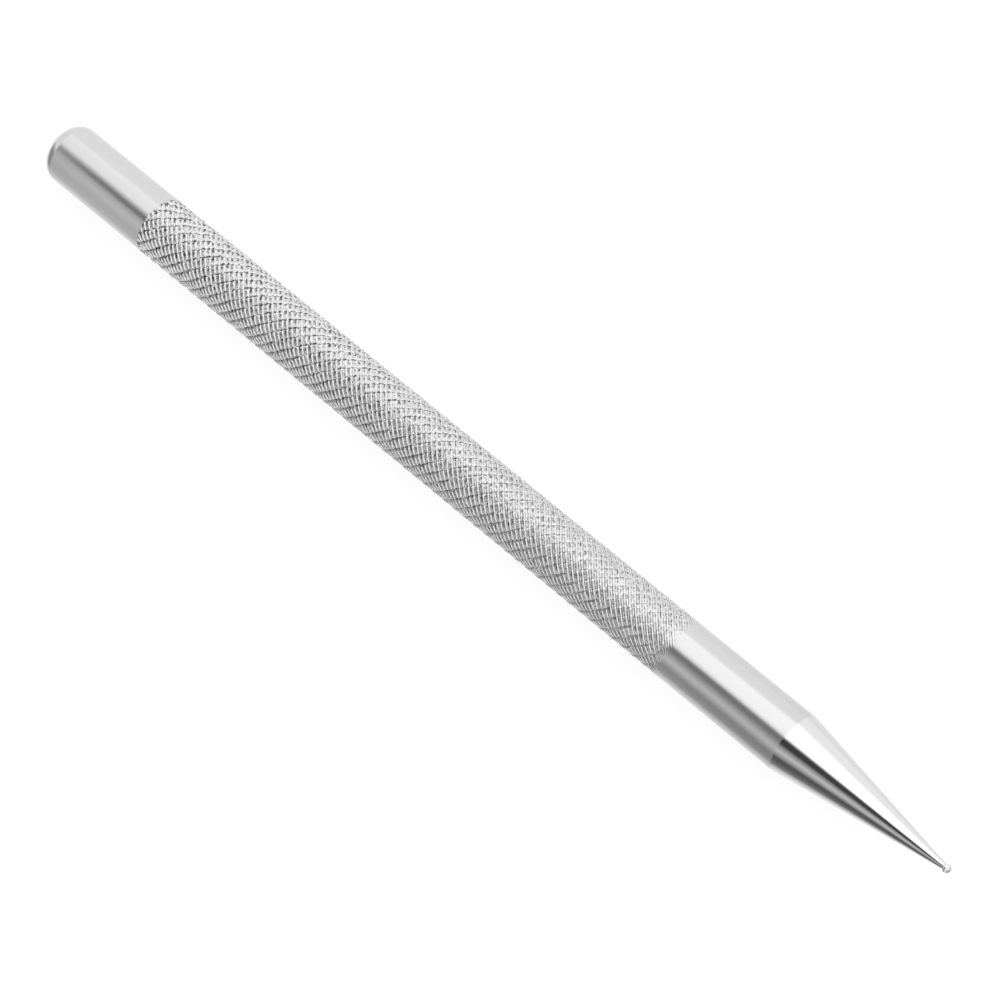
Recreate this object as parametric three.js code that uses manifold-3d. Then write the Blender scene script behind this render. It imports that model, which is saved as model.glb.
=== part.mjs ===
// Leather scriber: a knurled steel handle, a polished conical nose pressed into its front end,
// and a small ball on a pin that marks the leather.
// Millimetres, +Z up. The tool lies on its side along X with the ball towards +X. The origin is on its
// axis, at the middle of the grip.

import * as THREE from "three";
import { mergeVertices } from "three/addons/utils/BufferGeometryUtils.js";
import Module from "manifold-3d";

const wasm = await Module();
wasm.setup();

// Driving dimensions. Stations along the tool are measured from the butt.
const totalLength = 150;
const barRadius = 3.93;
const buttRounding = 1.97;
const gripStart = 18.4;
const gripEnd = 108.1;
const shoulder = 126.2;

// Diamond knurl: two families of grooves wind round the grip in opposite directions.
// Each family has this many grooves, and each groove moves on by the pitch from one to the next.
const grooveStarts = 14;
const groovePitch = 1.724;
const crestRise = { rear: 0.07, front: 0.035 };
const valleyDepth = { rear: 0.14, front: 0.06 };
const gripEdge = 0.12;

// Nose: a cone with a spigot that is a press fit in a blind bore of the handle.
const spigotRadius = 2.5;
const spigotLength = 14;
const spigotChamfer = 0.5;
const reliefRadius = 2.3;
const reliefWidth = 0.7;
const ventDepth = 0.3;
const boreRadius = 2.54;
const boreDepth = 15;
const boreChamfer = 0.35;
const drillPointAngle = THREE.MathUtils.degToRad(118);
const seam = 0.03;

// Ball: it has a flat at the back, where it sits on the end of the cone, and a pin behind it.
const ballRadius = 0.555;
const neckRadius = 0.375;
const pinRadius = 0.2;
const pinLength = 4;
const pinChamfer = 0.06;
const pinBoreRadius = 0.225;
const pinBoreDepth = 4.2;
const ballSeam = 0.015;

// Sides of the polygons that stand for circles.
const turnedSides = 56;
const gripSides = 2 * grooveStarts;
const ballSides = 28;

const gripMiddle = (gripStart + gripEnd) / 2;
const ballCentre = totalLength - ballRadius;
const coneEnd = ballCentre - Math.sqrt(ballRadius ** 2 - neckRadius ** 2);

// Points closer together than this are one point.
const mergeDistance = 1e-5;

// Finishes
const satinSteel = new THREE.MeshStandardMaterial({ color: 0xd2d2d2, roughness: 0.38, metalness: 1 });
const polishedSteel = new THREE.MeshStandardMaterial({ color: 0xe2e2e2, roughness: 0.08, metalness: 1 });
const brightBall = new THREE.MeshStandardMaterial({ color: 0xe8e8e8, roughness: 0.05, metalness: 1 });

// Radius to the corners of a polygon whose flat sides touch a circle.
function cornerRadius(radius, sides) {
  return radius / Math.cos(Math.PI / sides);
}

// One ring of the handle's skin. The corners stand half a step off the vertical, so that a flat
// side faces straight down. radiusAt gives the touched circle's radius for each corner.
function ring(station, sides, radiusAt) {
  const points = [];
  for (let corner = 0; corner < sides; corner++) {
    const angle = ((corner + 0.5) * 2 * Math.PI) / sides;
    const radius = cornerRadius(radiusAt(corner), sides);
    points.push(new THREE.Vector3(station, -radius * Math.sin(angle), radius * Math.cos(angle)));
  }
  return points;
}

function plainRing(station, radius) {
  return ring(station, turnedSides, () => radius);
}

function centrePoint(station) {
  return [new THREE.Vector3(station, 0, 0)];
}

// Closed skin over a list of rings. Rings may have turnedSides corners, half as many, or be a
// single centre point, and every face is cut along its lower diagonal, which is where a groove runs.
function skin(rings) {
  const positions = [];
  const radiusOf = (point) => Math.hypot(point.y, point.z);
  const cornerOf = (points, step) => {
    const index = Math.floor((step * points.length) / turnedSides);
    return points[index % points.length];
  };
  const addTriangle = (...corners) => {
    if (new Set(corners).size === 3) {
      corners.forEach((corner) => positions.push(...corner.toArray()));
    }
  };
  for (let level = 0; level < rings.length - 1; level++) {
    for (let step = 0; step < turnedSides; step++) {
      const here = cornerOf(rings[level], step);
      const hereNext = cornerOf(rings[level], step + 1);
      const ahead = cornerOf(rings[level + 1], step);
      const aheadNext = cornerOf(rings[level + 1], step + 1);
      const risingDiagonal = radiusOf(here) + radiusOf(aheadNext);
      const fallingDiagonal = radiusOf(hereNext) + radiusOf(ahead);
      if (risingDiagonal < fallingDiagonal) {
        addTriangle(here, hereNext, aheadNext);
        addTriangle(here, aheadNext, ahead);
      } else {
        addTriangle(here, hereNext, ahead);
        addTriangle(hereNext, aheadNext, ahead);
      }
    }
  }
  const geometry = new THREE.BufferGeometry();
  geometry.setAttribute("position", new THREE.Float32BufferAttribute(positions, 3));
  const merged = mergeVertices(geometry);
  merged.computeVertexNormals();
  return merged;
}

// Rings of the knurled grip. Crests and valleys alternate round each ring and from one ring to the
// next, so that the valleys line up along the grooves. The knurl gets shallower towards the front.
function gripRings() {
  const levels = Math.round((gripEnd - gripStart) / (groovePitch / 2));
  const rings = [];
  for (let level = 0; level <= levels; level++) {
    const along = level / levels;
    const crest = barRadius + THREE.MathUtils.lerp(crestRise.rear, crestRise.front, along);
    const valley = barRadius - THREE.MathUtils.lerp(valleyDepth.rear, valleyDepth.front, along);
    const station = THREE.MathUtils.lerp(gripStart, gripEnd, along);
    rings.push(ring(station, gripSides, (corner) => ((corner + level) % 2 === 0 ? crest : valley)));
  }
  return rings;
}

// Rounded edge of the butt, from its flat face to the full radius of the bar.
function buttRings() {
  const steps = 7;
  const rings = [];
  for (let step = 0; step <= steps; step++) {
    const angle = (step / steps) * (Math.PI / 2);
    const station = buttRounding * (1 - Math.cos(angle));
    rings.push(plainRing(station, barRadius - buttRounding * (1 - Math.sin(angle))));
  }
  return rings;
}

// Blind bore in the front face, with a chamfered mouth and the cone that a drill leaves.
function boreRings(face) {
  const floor = face - boreDepth;
  const drillPoint = boreRadius / Math.tan(drillPointAngle / 2);
  return [
    plainRing(face, boreRadius + boreChamfer),
    plainRing(face - boreChamfer, boreRadius),
    plainRing(floor, boreRadius),
    centrePoint(floor - drillPoint),
  ];
}

function handleGeometry() {
  const face = shoulder - seam;
  return skin([
    centrePoint(0),
    ...buttRings(),
    plainRing(gripStart - gripEdge, barRadius),
    ...gripRings(),
    plainRing(gripEnd + gripEdge, barRadius),
    plainRing(face, barRadius),
    ...boreRings(face),
  ]);
}

// Turned piece about X from a profile of [station, radius] points. The profile starts and ends on the
// axis and runs towards the ball, with the material on its inner side, so the faces point outwards.
function turned(profile, sides) {
  const points = profile.map(([station, radius]) => {
    return new THREE.Vector2(cornerRadius(radius, sides), station);
  });
  const geometry = new THREE.LatheGeometry(points, sides, Math.PI / sides);
  return geometry.rotateZ(-Math.PI / 2);
}

function toManifold(geometry) {
  const plain = geometry.clone();
  plain.deleteAttribute("normal");
  plain.deleteAttribute("uv");
  const merged = mergeVertices(plain, mergeDistance);
  return new wasm.Manifold(
    new wasm.Mesh({
      numProp: 3,
      vertProperties: merged.attributes.position.array,
      triVerts: Uint32Array.from(merged.index.array),
    }),
  );
}

function fromManifold(solid) {
  const mesh = solid.getMesh();
  const geometry = new THREE.BufferGeometry();
  geometry.setAttribute("position", new THREE.BufferAttribute(mesh.vertProperties, 3));
  geometry.setIndex(new THREE.BufferAttribute(mesh.triVerts, 1));
  geometry.computeVertexNormals();
  return geometry;
}

// The nose, with a flat along its spigot that lets the air out of the blind bore as it is pressed in.
function noseGeometry() {
  const spigotEnd = shoulder - spigotLength;
  const body = turned(
    [
      [spigotEnd, 0],
      [spigotEnd, spigotRadius - spigotChamfer],
      [spigotEnd + spigotChamfer, spigotRadius],
      [shoulder - reliefWidth, spigotRadius],
      [shoulder - reliefWidth, reliefRadius],
      [shoulder, reliefRadius],
      [shoulder, barRadius],
      [coneEnd, neckRadius],
      [coneEnd, pinBoreRadius],
      [coneEnd - pinBoreDepth, pinBoreRadius],
      [coneEnd - pinBoreDepth, 0],
    ],
    turnedSides,
  );
  const vent = new THREE.BoxGeometry(spigotLength, 2 * spigotRadius, 2 * ventDepth);
  vent.translate(shoulder - reliefWidth - spigotLength / 2, 0, spigotRadius);
  return fromManifold(toManifold(body).subtract(toManifold(vent)));
}

function ballGeometry() {
  const back = coneEnd + ballSeam;
  const pinEnd = back - pinLength;
  const steps = 14;
  const backAngle = Math.acos((ballCentre - back) / ballRadius);
  const profile = [
    [pinEnd, 0],
    [pinEnd, pinRadius - pinChamfer],
    [pinEnd + pinChamfer, pinRadius],
    [back, pinRadius],
  ];
  for (let step = 0; step < steps; step++) {
    const angle = THREE.MathUtils.lerp(backAngle, Math.PI, step / steps);
    profile.push([ballCentre - ballRadius * Math.cos(angle), ballRadius * Math.sin(angle)]);
  }
  profile.push([totalLength, 0]);
  return turned(profile, ballSides);
}

function piece(name, geometry, material) {
  const mesh = new THREE.Mesh(geometry, material);
  mesh.name = name;
  return mesh;
}

const scriber = new THREE.Group();
scriber.position.set(-gripMiddle, 0, 0);
scriber.add(piece("knurled_handle", handleGeometry(), satinSteel));
scriber.add(piece("nose_cone", noseGeometry(), polishedSteel));
scriber.add(piece("ball_point", ballGeometry(), brightBall));

export default scriber;
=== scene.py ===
from math import atan2, cos, pi, radians, sin, sqrt, tan

import bmesh
import bpy
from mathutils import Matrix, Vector, noise


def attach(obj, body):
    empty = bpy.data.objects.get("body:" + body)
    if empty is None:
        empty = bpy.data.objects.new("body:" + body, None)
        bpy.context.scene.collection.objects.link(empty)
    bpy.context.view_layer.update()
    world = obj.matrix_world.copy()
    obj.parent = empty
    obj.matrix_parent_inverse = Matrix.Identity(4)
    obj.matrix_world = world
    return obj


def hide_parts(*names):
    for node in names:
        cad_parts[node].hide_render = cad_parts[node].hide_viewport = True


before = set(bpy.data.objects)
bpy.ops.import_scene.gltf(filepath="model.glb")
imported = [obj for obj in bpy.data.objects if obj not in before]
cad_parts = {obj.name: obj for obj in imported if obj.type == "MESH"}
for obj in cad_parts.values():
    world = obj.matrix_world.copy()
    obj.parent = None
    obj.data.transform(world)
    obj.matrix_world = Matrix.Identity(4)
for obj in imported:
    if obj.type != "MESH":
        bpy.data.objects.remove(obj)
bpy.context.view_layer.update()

# Sizes, in metres
# Stations are measured along the tool from its butt, and the origin is at the middle of the grip.
MM = 0.001
TOTAL_LENGTH = 150 * MM
BAR_RADIUS = 3.93 * MM
BUTT_ROUNDING = 1.97 * MM
GRIP_START = 18.4 * MM
GRIP_END = 108.1 * MM
GRIP_MIDDLE = (GRIP_START + GRIP_END) / 2
SHOULDER = 126.2 * MM

# The diamond knurl. Main grooves wind one way round the grip, and lesser grooves, twice as many, wind
# the other way. The surface rises steeply beside each main groove and slopes down gently to the next
# one. Each lesser groove has a narrow flank and a wide one. The whole cut is a little uneven.
# Where two numbers are given, the first is for the rear of the grip and the second for its front.
# The core is the plain bar under the knurl. Lines that differ by less than SAME_GROOVE are one groove.
CELLS_ROUND = 28
CELLS_ALONG = 106
CELL_LENGTH = 0.8685 * MM
CELL_TURN = 2 * pi / CELLS_ROUND
KNURL_SHIFT = 0.363 * MM
CREST_RADIUS = (3.995 * MM, 3.965 * MM)
SLOPE_DROP = (0.05 * MM, 0.04 * MM)
UNEVEN = (0.03 * MM, 0.014 * MM)
UNEVEN_SIZE = 0.38 * MM
CORE_GAP = 0.12 * MM
SAME_GROOVE = 0.1

MAIN_SPACING = CELL_LENGTH * sqrt(2)
MAIN_DEPTH = (0.18 * MM, 0.08 * MM)
MAIN_HALF_WIDTH = 0.22 * MM
MAIN_WALL = MAIN_HALF_WIDTH / MAIN_SPACING
MAIN_BOTTOM = -MAIN_WALL / 3

LESSER_SPACING = CELL_LENGTH * sqrt(0.5)
LESSER_DEPTH = (0.085 * MM, 0.045 * MM)
LESSER_HALF_WIDTH = 0.13 * MM
LESSER_WALL = LESSER_HALF_WIDTH / LESSER_SPACING

# The knurl's ends: it fades out at the front, just below the bar, and each end has a wall down to the core
RUN_OUT = 1.6 * MM
FLUSH = 0.01 * MM
END_WALL = 0.93

# The nose, its spigot and the hole for the ball's pin
SPIGOT_RADIUS = 2.5 * MM
SPIGOT_LENGTH = 14 * MM
SPIGOT_CHAMFER = 0.5 * MM
RELIEF_RADIUS = 2.3 * MM
RELIEF_WIDTH = 0.7 * MM
BORE_RADIUS = 2.54 * MM
BORE_DEPTH = 15 * MM
BORE_CHAMFER = 0.35 * MM
DRILL_POINT = BORE_RADIUS / tan(radians(59))
DRILL_TIP = 0.02 * MM
SHOULDER_GAP = 0.005 * MM
NECK_RADIUS = 0.375 * MM
CONE_RINGS = 12
PIN_HOLE_RADIUS = 0.225 * MM
PIN_HOLE_DEPTH = 4.2 * MM

# The ball and its pin
BALL_RADIUS = 0.555 * MM
BALL_CENTRE = TOTAL_LENGTH - BALL_RADIUS
CONE_END = BALL_CENTRE - sqrt(BALL_RADIUS ** 2 - NECK_RADIUS ** 2)
BALL_BACK = CONE_END + 0.015 * MM
PIN_RADIUS = 0.2 * MM
PIN_LENGTH = 4 * MM

# Sides of the turned pieces, and how near to a station a point counts as being there, for picking it
# and for cutting beside it
TURNED_SIDES = 196
CLOSE = 0.001 * MM
CUT_CLOSE = 0.0001 * MM

# Finishes. The steel's brightness on the plain stretches and on the knurl, the colour of the painted shade
# in the knurl's grooves, and how strong that painted shade is, from 0 to 1.
PLAIN_STEEL = 0.76
KNURLED_STEEL = 0.92
PAINTED_SHADE_STEEL = 0.05
# How strong the painted shade is in the main grooves, on the lesser grooves' flanks and along the fine
# tracks, rear and front
MAIN_SHADE_STRENGTH = (0.8, 0.1)
LESSER_SHADE_STRENGTH = (1, 0.3)
FINE_SHADE_STRENGTH = (0, 0.55)
FINE_LINE = 0.02 * MM
FINE_SHARE = (0.4, 1.0)
STRAY = (0.24, 0.05)
GRAIN_DEPTH = 0.004 * MM
POLISH_DEPTH = 0.005 * MM

# The floor, and how brightly the camera sees it
FLOOR_DEPTH = 4 * MM
FLOOR_SIZE = 3
FLOOR_TONE = 0.16
FLOOR_GLOW = 0.9


def along(station):
    return station - GRIP_MIDDLE


# Camera
def place_camera(azimuth, elevation, distance, aim, lens):
    """Looks at the point aim from that direction, with no roll. Azimuth is that of its right-hand side."""
    data = bpy.data.cameras.new("camera")
    data.lens = lens
    data.sensor_width = 36
    data.clip_start = 0.01
    camera = bpy.data.objects.new("camera", data)
    back = Vector((sin(azimuth) * cos(elevation), -cos(azimuth) * cos(elevation), sin(elevation)))
    camera.location = Vector(aim) + distance * back
    camera.rotation_euler = (pi / 2 - elevation, 0, azimuth)
    bpy.context.scene.collection.objects.link(camera)
    bpy.context.scene.camera = camera


place_camera(azimuth=radians(45.470), elevation=radians(53.421), distance=0.51202,
             aim=(0.013987, 0.001264, -0.001711), lens=154.95)


# Helpers for shaping in edit mode
def begin(name):
    """Takes the new primitive as the piece to shape, with its place in its mesh."""
    piece = bpy.context.object
    piece.name = name
    piece.data.name = name
    bpy.ops.object.transform_apply(location=True, rotation=True, scale=True)
    bpy.ops.object.mode_set(mode="EDIT")
    return piece


def pick(piece, kind, wanted):
    """Selects only the edges or faces for which wanted is true."""
    mode = {"edges": "EDGE", "faces": "FACE"}[kind]
    bpy.ops.mesh.select_all(action="DESELECT")
    bpy.ops.mesh.select_mode(type=mode)
    mesh = bmesh.from_edit_mesh(piece.data)
    for element in getattr(mesh, kind):
        element.select_set(wanted(element))
    mesh.select_flush_mode()
    bmesh.update_edit_mesh(piece.data)


def pick_ring(piece, place):
    """Selects the edges that lie at one place along the tool."""
    pick(piece, "edges", lambda edge: all(abs(vert.co.x - place) < CLOSE for vert in edge.verts))


def turned_bar(name, profile):
    """A bar turned about the tool's axis: a disc at the first station, extruded and resized from one
    (station, radius) to the next."""
    station, radius = profile[0]
    bpy.ops.object.select_all(action="DESELECT")
    bpy.ops.mesh.primitive_circle_add(vertices=TURNED_SIDES, radius=radius, fill_type="NGON",
                                      location=(along(station), 0, 0), rotation=(0, pi / 2, 0))
    piece = begin(name)
    bpy.ops.mesh.select_all(action="SELECT")
    for next_station, next_radius in profile[1:]:
        step = next_station - station
        ratio = next_radius / radius
        bpy.ops.mesh.extrude_region_move(TRANSFORM_OT_translate={"value": (step, 0, 0)})
        bpy.ops.transform.resize(value=(1, ratio, ratio), center_override=(along(next_station), 0, 0))
        station, radius = next_station, next_radius
    return piece


def finish_shape(smooth_angle):
    """Leaves edit mode with all normals outwards and edges sharper than the angle kept crisp."""
    bpy.ops.mesh.select_all(action="SELECT")
    bpy.ops.mesh.normals_make_consistent(inside=False)
    bpy.ops.object.mode_set(mode="OBJECT")
    bpy.ops.object.shade_smooth_by_angle(angle=smooth_angle)


# The handle bar, turned, with its rounded butt and the bore for the nose
def make_bar():
    core = CREST_RADIUS[0] - MAIN_DEPTH[0] - CORE_GAP
    front = SHOULDER - SHOULDER_GAP
    bar = turned_bar("handle", [
        (0, BAR_RADIUS),
        (GRIP_START, BAR_RADIUS),
        (GRIP_START, core),
        (GRIP_END, core),
        (GRIP_END, BAR_RADIUS),
        (front, BAR_RADIUS),
        (front, BORE_RADIUS + BORE_CHAMFER),
        (front - BORE_CHAMFER, BORE_RADIUS),
        (front - BORE_DEPTH, BORE_RADIUS),
        (front - BORE_DEPTH - DRILL_POINT, DRILL_TIP),
    ])
    bpy.ops.mesh.merge(type="CENTER")
    pick_ring(bar, along(0))
    bpy.ops.mesh.bevel(offset=BUTT_ROUNDING, segments=12, profile=0.5)
    finish_shape(radians(28))
    return bar


# The knurl, cut in a sleeve that is one with the bar
def mix(pair, share):
    return pair[0] + (pair[1] - pair[0]) * share


def limit(value):
    return min(max(value, 0), 1)


def lines_at(point):
    """Number of the main and of the lesser groove at a point. The even main ones are cut."""
    cells_round = atan2(-point.y, point.z) / CELL_TURN
    cells_along = point.x / CELL_LENGTH + CELLS_ALONG / 2
    return cells_round + cells_along, cells_round - cells_along


def knurl_radius(point):
    """How far the knurl's surface lies from the axis, at a point given before the knurl is shifted."""
    main, lesser = lines_at(point)
    share = limit(point.x / (GRIP_END - GRIP_START) + 0.5)
    way = (main / 2 - MAIN_BOTTOM) % 1
    rise = way / (MAIN_WALL - MAIN_BOTTOM)
    fall = (1 - way) / (MAIN_WALL + MAIN_BOTTOM)
    slope = limit((way - MAIN_WALL + MAIN_BOTTOM) / (1 - 2 * MAIN_WALL))
    side = lesser % 1
    dip = max(1 - side / LESSER_WALL, (side - LESSER_WALL) / (1 - LESSER_WALL))
    crest = mix(CREST_RADIUS, share)
    floor = crest - mix(MAIN_DEPTH, share)
    top = crest - mix(SLOPE_DROP, share) * slope - mix(LESSER_DEPTH, share) * dip
    radius = floor + (top - floor) * min(rise, fall, 1)
    radius -= mix(UNEVEN, share) * (1 + noise.noise(point / UNEVEN_SIZE))
    left = limit((along(GRIP_END) - point.x - KNURL_SHIFT) / RUN_OUT)
    return mix((BAR_RADIUS - FLUSH, radius), left)


def make_knurl():
    """A faceted sleeve with its edges along both families of grooves, which are bevelled and cut."""
    length = CELLS_ALONG * CELL_LENGTH
    bpy.ops.object.select_all(action="DESELECT")
    bpy.ops.mesh.primitive_cylinder_add(vertices=CELLS_ROUND, radius=BAR_RADIUS, depth=length,
                                        end_fill_type="NOTHING", rotation=(0, pi / 2, 0))
    knurl = begin("knurl")
    pick(knurl, "edges", lambda edge: abs(edge.verts[0].co.x - edge.verts[1].co.x) > length / 2)
    bpy.ops.mesh.subdivide(number_cuts=CELLS_ALONG // 2 - 1)
    pick(knurl, "edges", lambda edge: abs(edge.verts[0].co.x - edge.verts[1].co.x) > CELL_LENGTH / 2)
    bpy.ops.mesh.subdivide(number_cuts=1)
    bpy.ops.mesh.select_all(action="SELECT")
    bpy.ops.mesh.poke(offset=BAR_RADIUS * (1 - cos(CELL_TURN / 2)), center_mode="MEDIAN")

    def runs_along(edge, family):
        first, second = (lines_at(vert.co)[family] for vert in edge.verts)
        return abs((first - second + CELLS_ROUND / 2) % CELLS_ROUND - CELLS_ROUND / 2) < SAME_GROOVE

    def is_square_side(edge):
        return len(edge.link_faces) == 2 and not runs_along(edge, 0) and not runs_along(edge, 1)

    def is_main_groove(edge):
        main = lines_at(edge.verts[0].co)[0]
        is_even = abs(main % 2 - 1) > 1 - SAME_GROOVE
        return len(edge.link_faces) == 2 and runs_along(edge, 0) and is_even

    def is_lesser_groove(edge):
        return len(edge.link_faces) == 2 and runs_along(edge, 1)

    pick(knurl, "edges", is_square_side)
    bpy.ops.mesh.dissolve_edges(use_verts=False)
    pick(knurl, "edges", lambda edge: runs_along(edge, 1))
    bpy.ops.mesh.subdivide(number_cuts=1)
    pick(knurl, "edges", is_main_groove)
    bpy.ops.mesh.bevel(offset=MAIN_HALF_WIDTH, segments=3, profile=0.5)
    pick(knurl, "edges", is_lesser_groove)
    bpy.ops.mesh.bevel(offset=LESSER_HALF_WIDTH, segments=2, profile=0.5)

    mesh = bmesh.from_edit_mesh(knurl.data)
    for vert in mesh.verts:
        ratio = knurl_radius(vert.co) / sqrt(vert.co.y ** 2 + vert.co.z ** 2)
        vert.co.y *= ratio
        vert.co.z *= ratio
    bmesh.update_edit_mesh(knurl.data)

    bpy.ops.mesh.select_all(action="SELECT")
    bpy.ops.transform.translate(value=(KNURL_SHIFT, 0, 0))
    for station, side in ((GRIP_START, -1), (GRIP_END, 1)):
        bpy.ops.mesh.select_all(action="SELECT")
        bpy.ops.mesh.bisect(plane_co=(along(station), 0, 0), plane_no=(side, 0, 0), clear_outer=True,
                            threshold=CUT_CLOSE)
    for station in (GRIP_START, GRIP_END):
        pick_ring(knurl, along(station))
        bpy.ops.mesh.extrude_edges_move()
        bpy.ops.transform.resize(value=(1, END_WALL, END_WALL), center_override=(along(station), 0, 0))

    # The two end walls are joined by a tube inside the core, which closes the sleeve
    pick(knurl, "edges", lambda edge: len(edge.link_faces) == 1)
    bpy.ops.mesh.bridge_edge_loops()
    finish_shape(radians(12))
    return knurl


def make_handle():
    bar = make_bar()
    knurl = make_knurl()
    bpy.ops.object.select_all(action="DESELECT")
    bar.select_set(True)
    knurl.select_set(True)
    bpy.context.view_layer.objects.active = bar
    bpy.ops.object.join()
    return bar


# The nose: spigot, relief groove, polished cone and the hole for the pin
def make_nose():
    spigot_end = SHOULDER - SPIGOT_LENGTH
    cone = []
    for ring in range(1, CONE_RINGS + 1):
        cone.append((SHOULDER + (CONE_END - SHOULDER) * ring / CONE_RINGS,
                     BAR_RADIUS + (NECK_RADIUS - BAR_RADIUS) * ring / CONE_RINGS))
    nose = turned_bar("nose", [
        (spigot_end, SPIGOT_RADIUS - SPIGOT_CHAMFER),
        (spigot_end + SPIGOT_CHAMFER, SPIGOT_RADIUS),
        (SHOULDER - RELIEF_WIDTH, SPIGOT_RADIUS),
        (SHOULDER - RELIEF_WIDTH, RELIEF_RADIUS),
        (SHOULDER, RELIEF_RADIUS),
        (SHOULDER, BAR_RADIUS),
        *cone,
        (CONE_END, PIN_HOLE_RADIUS),
        (CONE_END - PIN_HOLE_DEPTH, PIN_HOLE_RADIUS),
    ])
    finish_shape(radians(15))
    return nose


# The ball, flat at the back, with its pin
def make_ball():
    bpy.ops.object.select_all(action="DESELECT")
    bpy.ops.mesh.primitive_uv_sphere_add(segments=64, ring_count=40, radius=BALL_RADIUS,
                                         location=(along(BALL_CENTRE), 0, 0), rotation=(0, pi / 2, 0))
    ball = begin("ball")
    bpy.ops.mesh.select_all(action="SELECT")
    bpy.ops.mesh.bisect(plane_co=(along(BALL_BACK), 0, 0), plane_no=(1, 0, 0), use_fill=True,
                        clear_inner=True, threshold=CUT_CLOSE)
    pick(ball, "faces", lambda face: face.normal.x < -0.99 and len(face.verts) > 8)
    flat_radius = sqrt(BALL_RADIUS ** 2 - (BALL_CENTRE - BALL_BACK) ** 2)
    bpy.ops.mesh.inset(thickness=flat_radius - PIN_RADIUS)
    bpy.ops.mesh.extrude_region_move(TRANSFORM_OT_translate={"value": (-PIN_LENGTH, 0, 0)})
    finish_shape(radians(35))
    return ball


# Finishes
def grey(level):
    return level, level, level, 1


def new_material(name):
    material = bpy.data.materials.new(name)
    material.use_nodes = True
    nodes = material.node_tree.nodes
    return material, nodes, material.node_tree.links, nodes["Principled BSDF"]


def calculate(nodes, links, operation, *values):
    """A maths node; each value is a number or the socket that it comes from."""
    node = nodes.new("ShaderNodeMath")
    node.operation = operation
    for socket, value in zip(node.inputs, values):
        if isinstance(value, (int, float)):
            socket.default_value = value
        else:
            links.new(value, socket)
    return node.outputs[0]


def map_range(nodes, links, source, low, high, start=0, end=1):
    """Runs from start to end while the source runs from low to high."""
    node = nodes.new("ShaderNodeMapRange")
    for socket, value in (("From Min", low), ("From Max", high), ("To Min", start), ("To Max", end)):
        node.inputs[socket].default_value = value
    links.new(source, node.inputs["Value"])
    return node.outputs["Result"]


def blend(nodes, links, share, first, second):
    """A mix of two colours, each given as a grey level or as the socket that it comes from."""
    node = nodes.new("ShaderNodeMix")
    node.data_type = "RGBA"
    links.new(share, node.inputs["Factor"])
    for name, value in (("A", first), ("B", second)):
        if isinstance(value, float):
            node.inputs[name].default_value = grey(value)
        else:
            links.new(value, node.inputs[name])
    return node.outputs["Result"]


def add_noise(nodes, links, place, scale, detail):
    """Noise with a size in each direction of the tool, from the place that is given."""
    stretch = nodes.new("ShaderNodeMapping")
    stretch.inputs["Scale"].default_value = scale
    links.new(place, stretch.inputs["Vector"])
    texture = nodes.new("ShaderNodeTexNoise")
    texture.inputs["Scale"].default_value = 1
    texture.inputs["Detail"].default_value = detail
    links.new(stretch.outputs[0], texture.inputs["Vector"])
    return texture.outputs["Fac"]


def add_bump(nodes, links, height, distance, strength, under=None):
    bump = nodes.new("ShaderNodeBump")
    bump.inputs["Strength"].default_value = strength
    bump.inputs["Distance"].default_value = distance
    links.new(height, bump.inputs["Height"])
    if under is not None:
        links.new(under, bump.inputs["Normal"])
    return bump.outputs["Normal"]


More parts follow.
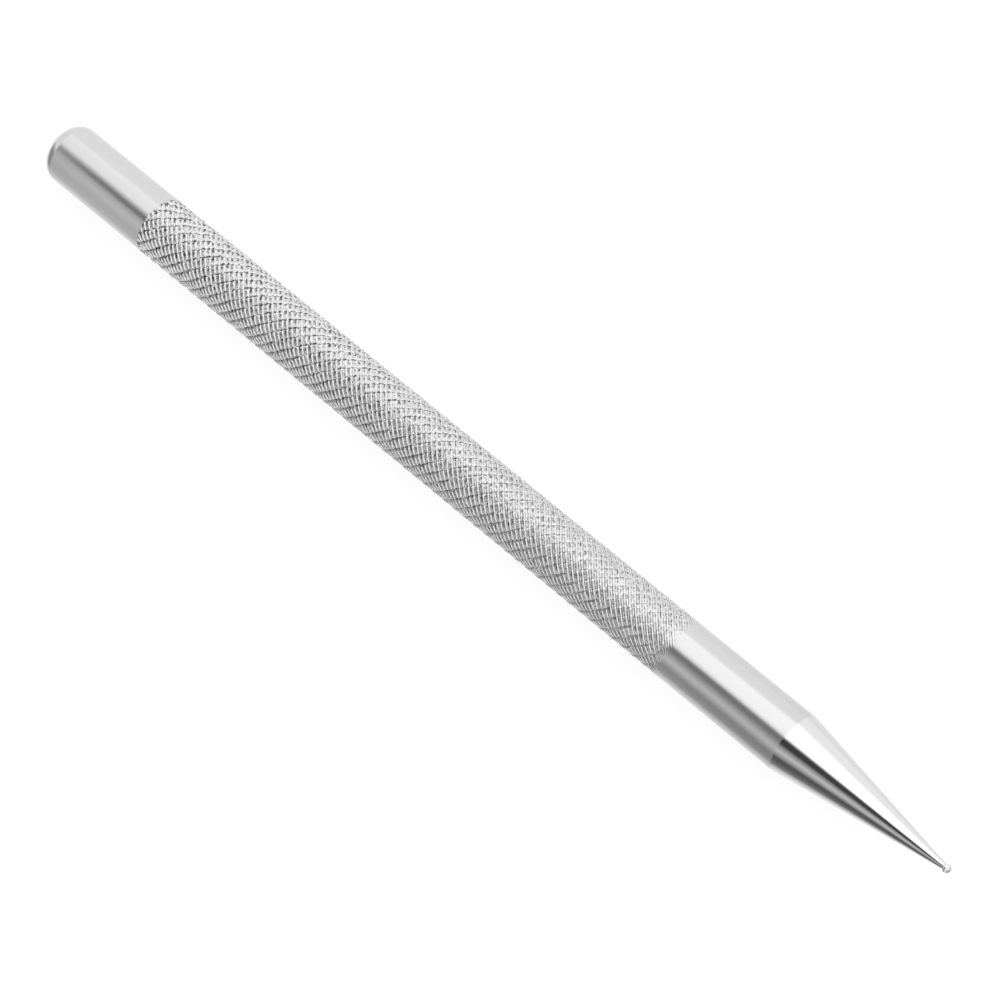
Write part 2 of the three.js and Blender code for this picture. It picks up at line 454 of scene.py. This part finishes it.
def satin_steel():
    """Turned and lightly brushed steel, with painted shade in the grooves of the knurl."""
    material, nodes, links, shader = new_material("satin_steel")
    shader.inputs["Metallic"].default_value = 0.78
    place = nodes.new("ShaderNodeTexCoord").outputs["Object"]
    split = nodes.new("ShaderNodeSeparateXYZ")
    links.new(place, split.inputs[0])
    x, y, z = (split.outputs[axis] for axis in "XYZ")

    def do(operation, *values):
        return calculate(nodes, links, operation, *values)

    def run(source, low, high, start=0, end=1):
        return map_range(nodes, links, source, low, high, start, end)

    def down_the_grip(pair):
        """Runs from the first number at the rear of the grip to the second at its front."""
        return run(x, along(GRIP_START), along(GRIP_END), *pair)

    grain = add_noise(nodes, links, place, scale=(12000, 1500, 1500), detail=3)
    links.new(run(grain, 0, 1, 0.08, 0.2), shader.inputs["Roughness"])

    # The knurl's grooves, counted in the same way as for its shape, but straying a little
    uneven = nodes.new("ShaderNodeTexNoise")
    uneven.inputs["Scale"].default_value = 1 / UNEVEN_SIZE
    uneven.inputs["Detail"].default_value = 2
    links.new(place, uneven.inputs["Vector"])
    patches = uneven.outputs["Fac"]
    stray = do("MULTIPLY", run(patches, 0.3, 0.7, -1, 1), down_the_grip(STRAY))
    cells_round = do("MULTIPLY", do("ARCTAN2", do("MULTIPLY", y, -1), z), 1 / CELL_TURN)
    cells_along = do("MULTIPLY", do("SUBTRACT", x, KNURL_SHIFT), 1 / CELL_LENGTH)
    cells_along = do("ADD", cells_along, CELLS_ALONG / 2)
    main = do("ADD", do("ADD", cells_round, cells_along), stray)
    lesser = do("ADD", do("SUBTRACT", cells_round, cells_along), stray)
    on_grip = do("MULTIPLY", run(x, along(GRIP_START) - 0.05 * MM, along(GRIP_START)),
                 run(x, along(GRIP_END) + 0.8 * MM, along(GRIP_END) - 0.8 * MM))

    # Painted shade in the bottoms of the main grooves
    way = do("FRACT", do("SUBTRACT", do("MULTIPLY", main, 0.5), MAIN_BOTTOM))
    main_groove_shade = do("MAXIMUM", run(way, 0.03, 0.15, 1, 0), run(way, 0.96, 1))
    main_groove_shade = do("MULTIPLY", main_groove_shade, down_the_grip(MAIN_SHADE_STRENGTH))

    # Painted shade on the wide flanks of the lesser grooves, less on every second one and just before a
    # main groove
    side = do("FRACT", lesser)
    lesser_flank_shade = do("MULTIPLY", run(side, 0.3, 0.5), run(side, 0.8, 1, 1, 0))
    lesser_flank_shade = do("MULTIPLY", lesser_flank_shade, run(do("PINGPONG", lesser, 1), 0.3, 0.7, 1, 0.65))
    lesser_flank_shade = do("MULTIPLY", lesser_flank_shade, run(way, 0.5, 0.75, 1, 0.2))
    lesser_flank_shade = do("MULTIPLY", lesser_flank_shade, down_the_grip(LESSER_SHADE_STRENGTH))

    # Fine tracks beside the lesser grooves, stronger towards the front: painted shade along them in the
    # colour, and real bumps of them further down
    wave = do("COSINE", do("MULTIPLY", lesser, 4 * pi))
    fine_track_shade = do("MULTIPLY", run(wave, 0.2, 0.9), down_the_grip(FINE_SHADE_STRENGTH))

    # All the painted shade of the knurl together, stronger in random patches and only on the grip,
    # darkening the steel towards the painted shade colour
    painted_groove_shade = do("ADD", do("ADD", main_groove_shade, lesser_flank_shade), fine_track_shade)
    painted_groove_shade = do("MULTIPLY", painted_groove_shade, run(patches, 0.4, 0.55, 0.2, 1.3))
    painted_groove_shade = do("MULTIPLY", painted_groove_shade, on_grip)
    steel = blend(nodes, links, on_grip, PLAIN_STEEL, KNURLED_STEEL)
    links.new(blend(nodes, links, painted_groove_shade, steel, PAINTED_SHADE_STEEL), shader.inputs["Base Color"])

    tracks = do("MULTIPLY", wave, do("MULTIPLY", on_grip, down_the_grip(FINE_SHARE)))
    bumps = add_bump(nodes, links, grain, GRAIN_DEPTH, 0.08)
    bumps = add_bump(nodes, links, tracks, -FINE_LINE, 1, under=bumps)
    links.new(bumps, shader.inputs["Normal"])
    return material


def polished_steel(name, tone, roughness):
    """Mirror polish with faint traces of the turning under it."""
    material, nodes, links, shader = new_material(name)
    shader.inputs["Base Color"].default_value = grey(tone)
    shader.inputs["Metallic"].default_value = 1
    place = nodes.new("ShaderNodeTexCoord").outputs["Object"]
    traces = add_noise(nodes, links, place, scale=(6000, 200, 200), detail=2)
    gloss = map_range(nodes, links, traces, 0, 1, 0.6 * roughness, 1.4 * roughness)
    links.new(gloss, shader.inputs["Roughness"])
    links.new(add_bump(nodes, links, traces, POLISH_DEPTH, 0.03), shader.inputs["Normal"])
    return material


def dress(piece, node, material):
    piece.data.materials.clear()
    piece.data.materials.append(material)
    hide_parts(node)
    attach(piece, "root")


dress(make_handle(), "knurled_handle", satin_steel())
dress(make_nose(), "nose_cone", polished_steel("polished_steel", 0.88, 0.06))
dress(make_ball(), "ball_point", polished_steel("bright_ball", 0.9, 0.05))


# Floor: pale, white where the tool casts no shadow
def make_floor():
    bpy.ops.object.select_all(action="DESELECT")
    bpy.ops.mesh.primitive_plane_add(size=FLOOR_SIZE, location=(0, 0, -FLOOR_DEPTH))
    floor = bpy.context.object
    floor.name = "floor"
    material, nodes, links, shader = new_material("pale_floor")
    nodes.remove(shader)
    surface = nodes.new("ShaderNodeBsdfDiffuse")
    surface.inputs["Color"].default_value = grey(FLOOR_TONE)
    seen = nodes.new("ShaderNodeLightPath")
    glow = nodes.new("ShaderNodeEmission")
    level = calculate(nodes, links, "MULTIPLY", seen.outputs["Is Camera Ray"], FLOOR_GLOW)
    links.new(level, glow.inputs["Strength"])
    both = nodes.new("ShaderNodeAddShader")
    links.new(surface.outputs[0], both.inputs[0])
    links.new(glow.outputs[0], both.inputs[1])
    links.new(both.outputs[0], nodes["Material Output"].inputs["Surface"])
    floor.data.materials.append(material)
    floor.visible_glossy = False


make_floor()

# What stands round the tool. Each list goes round the tool's axis in degrees, from the front over the
# top, with the brightness of what stands there: a big soft lamp above, a pale tent behind, and in
# front two dark strips with a gap between them. Towards the butt there is one strip, and beyond it a
# broad dim stretch. Past the nose the tent is white, and it gets dimmer low down and far ahead.
BESIDE_THE_NOSE = [
    (-180, 0.8), (-138, 0.85), (-98, 0.9), (-78, 0.8), (-58, 0.5), (-46, 0.2), (-26, 0.1),
    (-14, 0.1), (2, 0.4), (11, 0.55), (23, 0.35), (37, 0.05), (51, 0.05), (56, 0.25), (61, 1.0),
    (67, 1.35), (118, 1.35), (124, 1.0), (136, 0.9), (162, 0.9), (180, 0.8),
]
BESIDE_THE_BUTT = [
    (-180, 0.9), (-98, 0.9), (-70, 0.8), (-55, 0.6), (-20, 0.5), (14, 0.6), (34, 0.4), (44, 0.05),
    (54, 0.05), (64, 0.5), (74, 1.0), (118, 1.1), (124, 0.95), (150, 0.9), (180, 0.9),
]
BEYOND_THE_BUTT = [
    (-180, 0.9), (-90, 1.0), (-68, 0.95), (-48, 0.3), (10, 0.2), (45, 0.85), (180, 0.9),
]
PAST_THE_NOSE = [
    (-180, 0.85), (-140, 0.6), (-75, 0.5), (-40, 1.0), (140, 1.0), (180, 0.85),
]
FAR_AHEAD = [
    (-180, 0.7), (-120, 0.4), (-60, 0.35), (-15, 0.5), (40, 0.9), (110, 1.0), (180, 0.7),
]

# Where each further list takes over, as the share of a direction that points along the tool
TAKES_OVER = (
    (BESIDE_THE_BUTT, -0.3, -0.5),
    (BEYOND_THE_BUTT, -0.58, -0.65),
    (PAST_THE_NOSE, 0.01, 0.07),
    (FAR_AHEAD, 0.25, 0.55),
)


def brightness_ramp(nodes, links, round_the_axis, stops_round):
    ramp = nodes.new("ShaderNodeValToRGB")
    stops = ramp.color_ramp.elements
    while len(stops) > 1:
        stops.remove(stops[-1])
    for number, (direction, light) in enumerate(stops_round):
        place = (direction + 180) / 360
        stop = stops[0] if number == 0 else stops.new(place)
        stop.position = place
        stop.color = grey(light)
    links.new(round_the_axis, ramp.inputs["Fac"])
    return ramp.outputs["Color"]


def make_surroundings():
    world = bpy.data.worlds.new("tent")
    bpy.context.scene.world = world
    world.use_nodes = True
    nodes = world.node_tree.nodes
    links = world.node_tree.links
    direction = nodes.new("ShaderNodeTexCoord")
    split = nodes.new("ShaderNodeSeparateXYZ")
    links.new(direction.outputs["Generated"], split.inputs[0])
    front = calculate(nodes, links, "MULTIPLY", split.outputs["Y"], -1)
    angle = calculate(nodes, links, "ARCTAN2", split.outputs["Z"], front)
    round_the_axis = map_range(nodes, links, angle, -pi, pi)
    colour = brightness_ramp(nodes, links, round_the_axis, BESIDE_THE_NOSE)
    for stops_round, start, end in TAKES_OVER:
        share = map_range(nodes, links, split.outputs["X"], start, end)
        further = brightness_ramp(nodes, links, round_the_axis, stops_round)
        colour = blend(nodes, links, share, colour, further)
    tent = nodes["Background"]
    links.new(colour, tent.inputs["Color"])
    white = nodes.new("ShaderNodeBackground")
    white.inputs["Color"].default_value = grey(1)
    seen = nodes.new("ShaderNodeLightPath")
    choice = nodes.new("ShaderNodeMixShader")
    links.new(seen.outputs["Is Camera Ray"], choice.inputs["Fac"])
    links.new(tent.outputs[0], choice.inputs[1])
    links.new(white.outputs[0], choice.inputs[2])
    links.new(choice.outputs[0], nodes["World Output"].inputs["Surface"])


make_surroundings()
bpy.context.scene.view_settings.view_transform = "Standard"
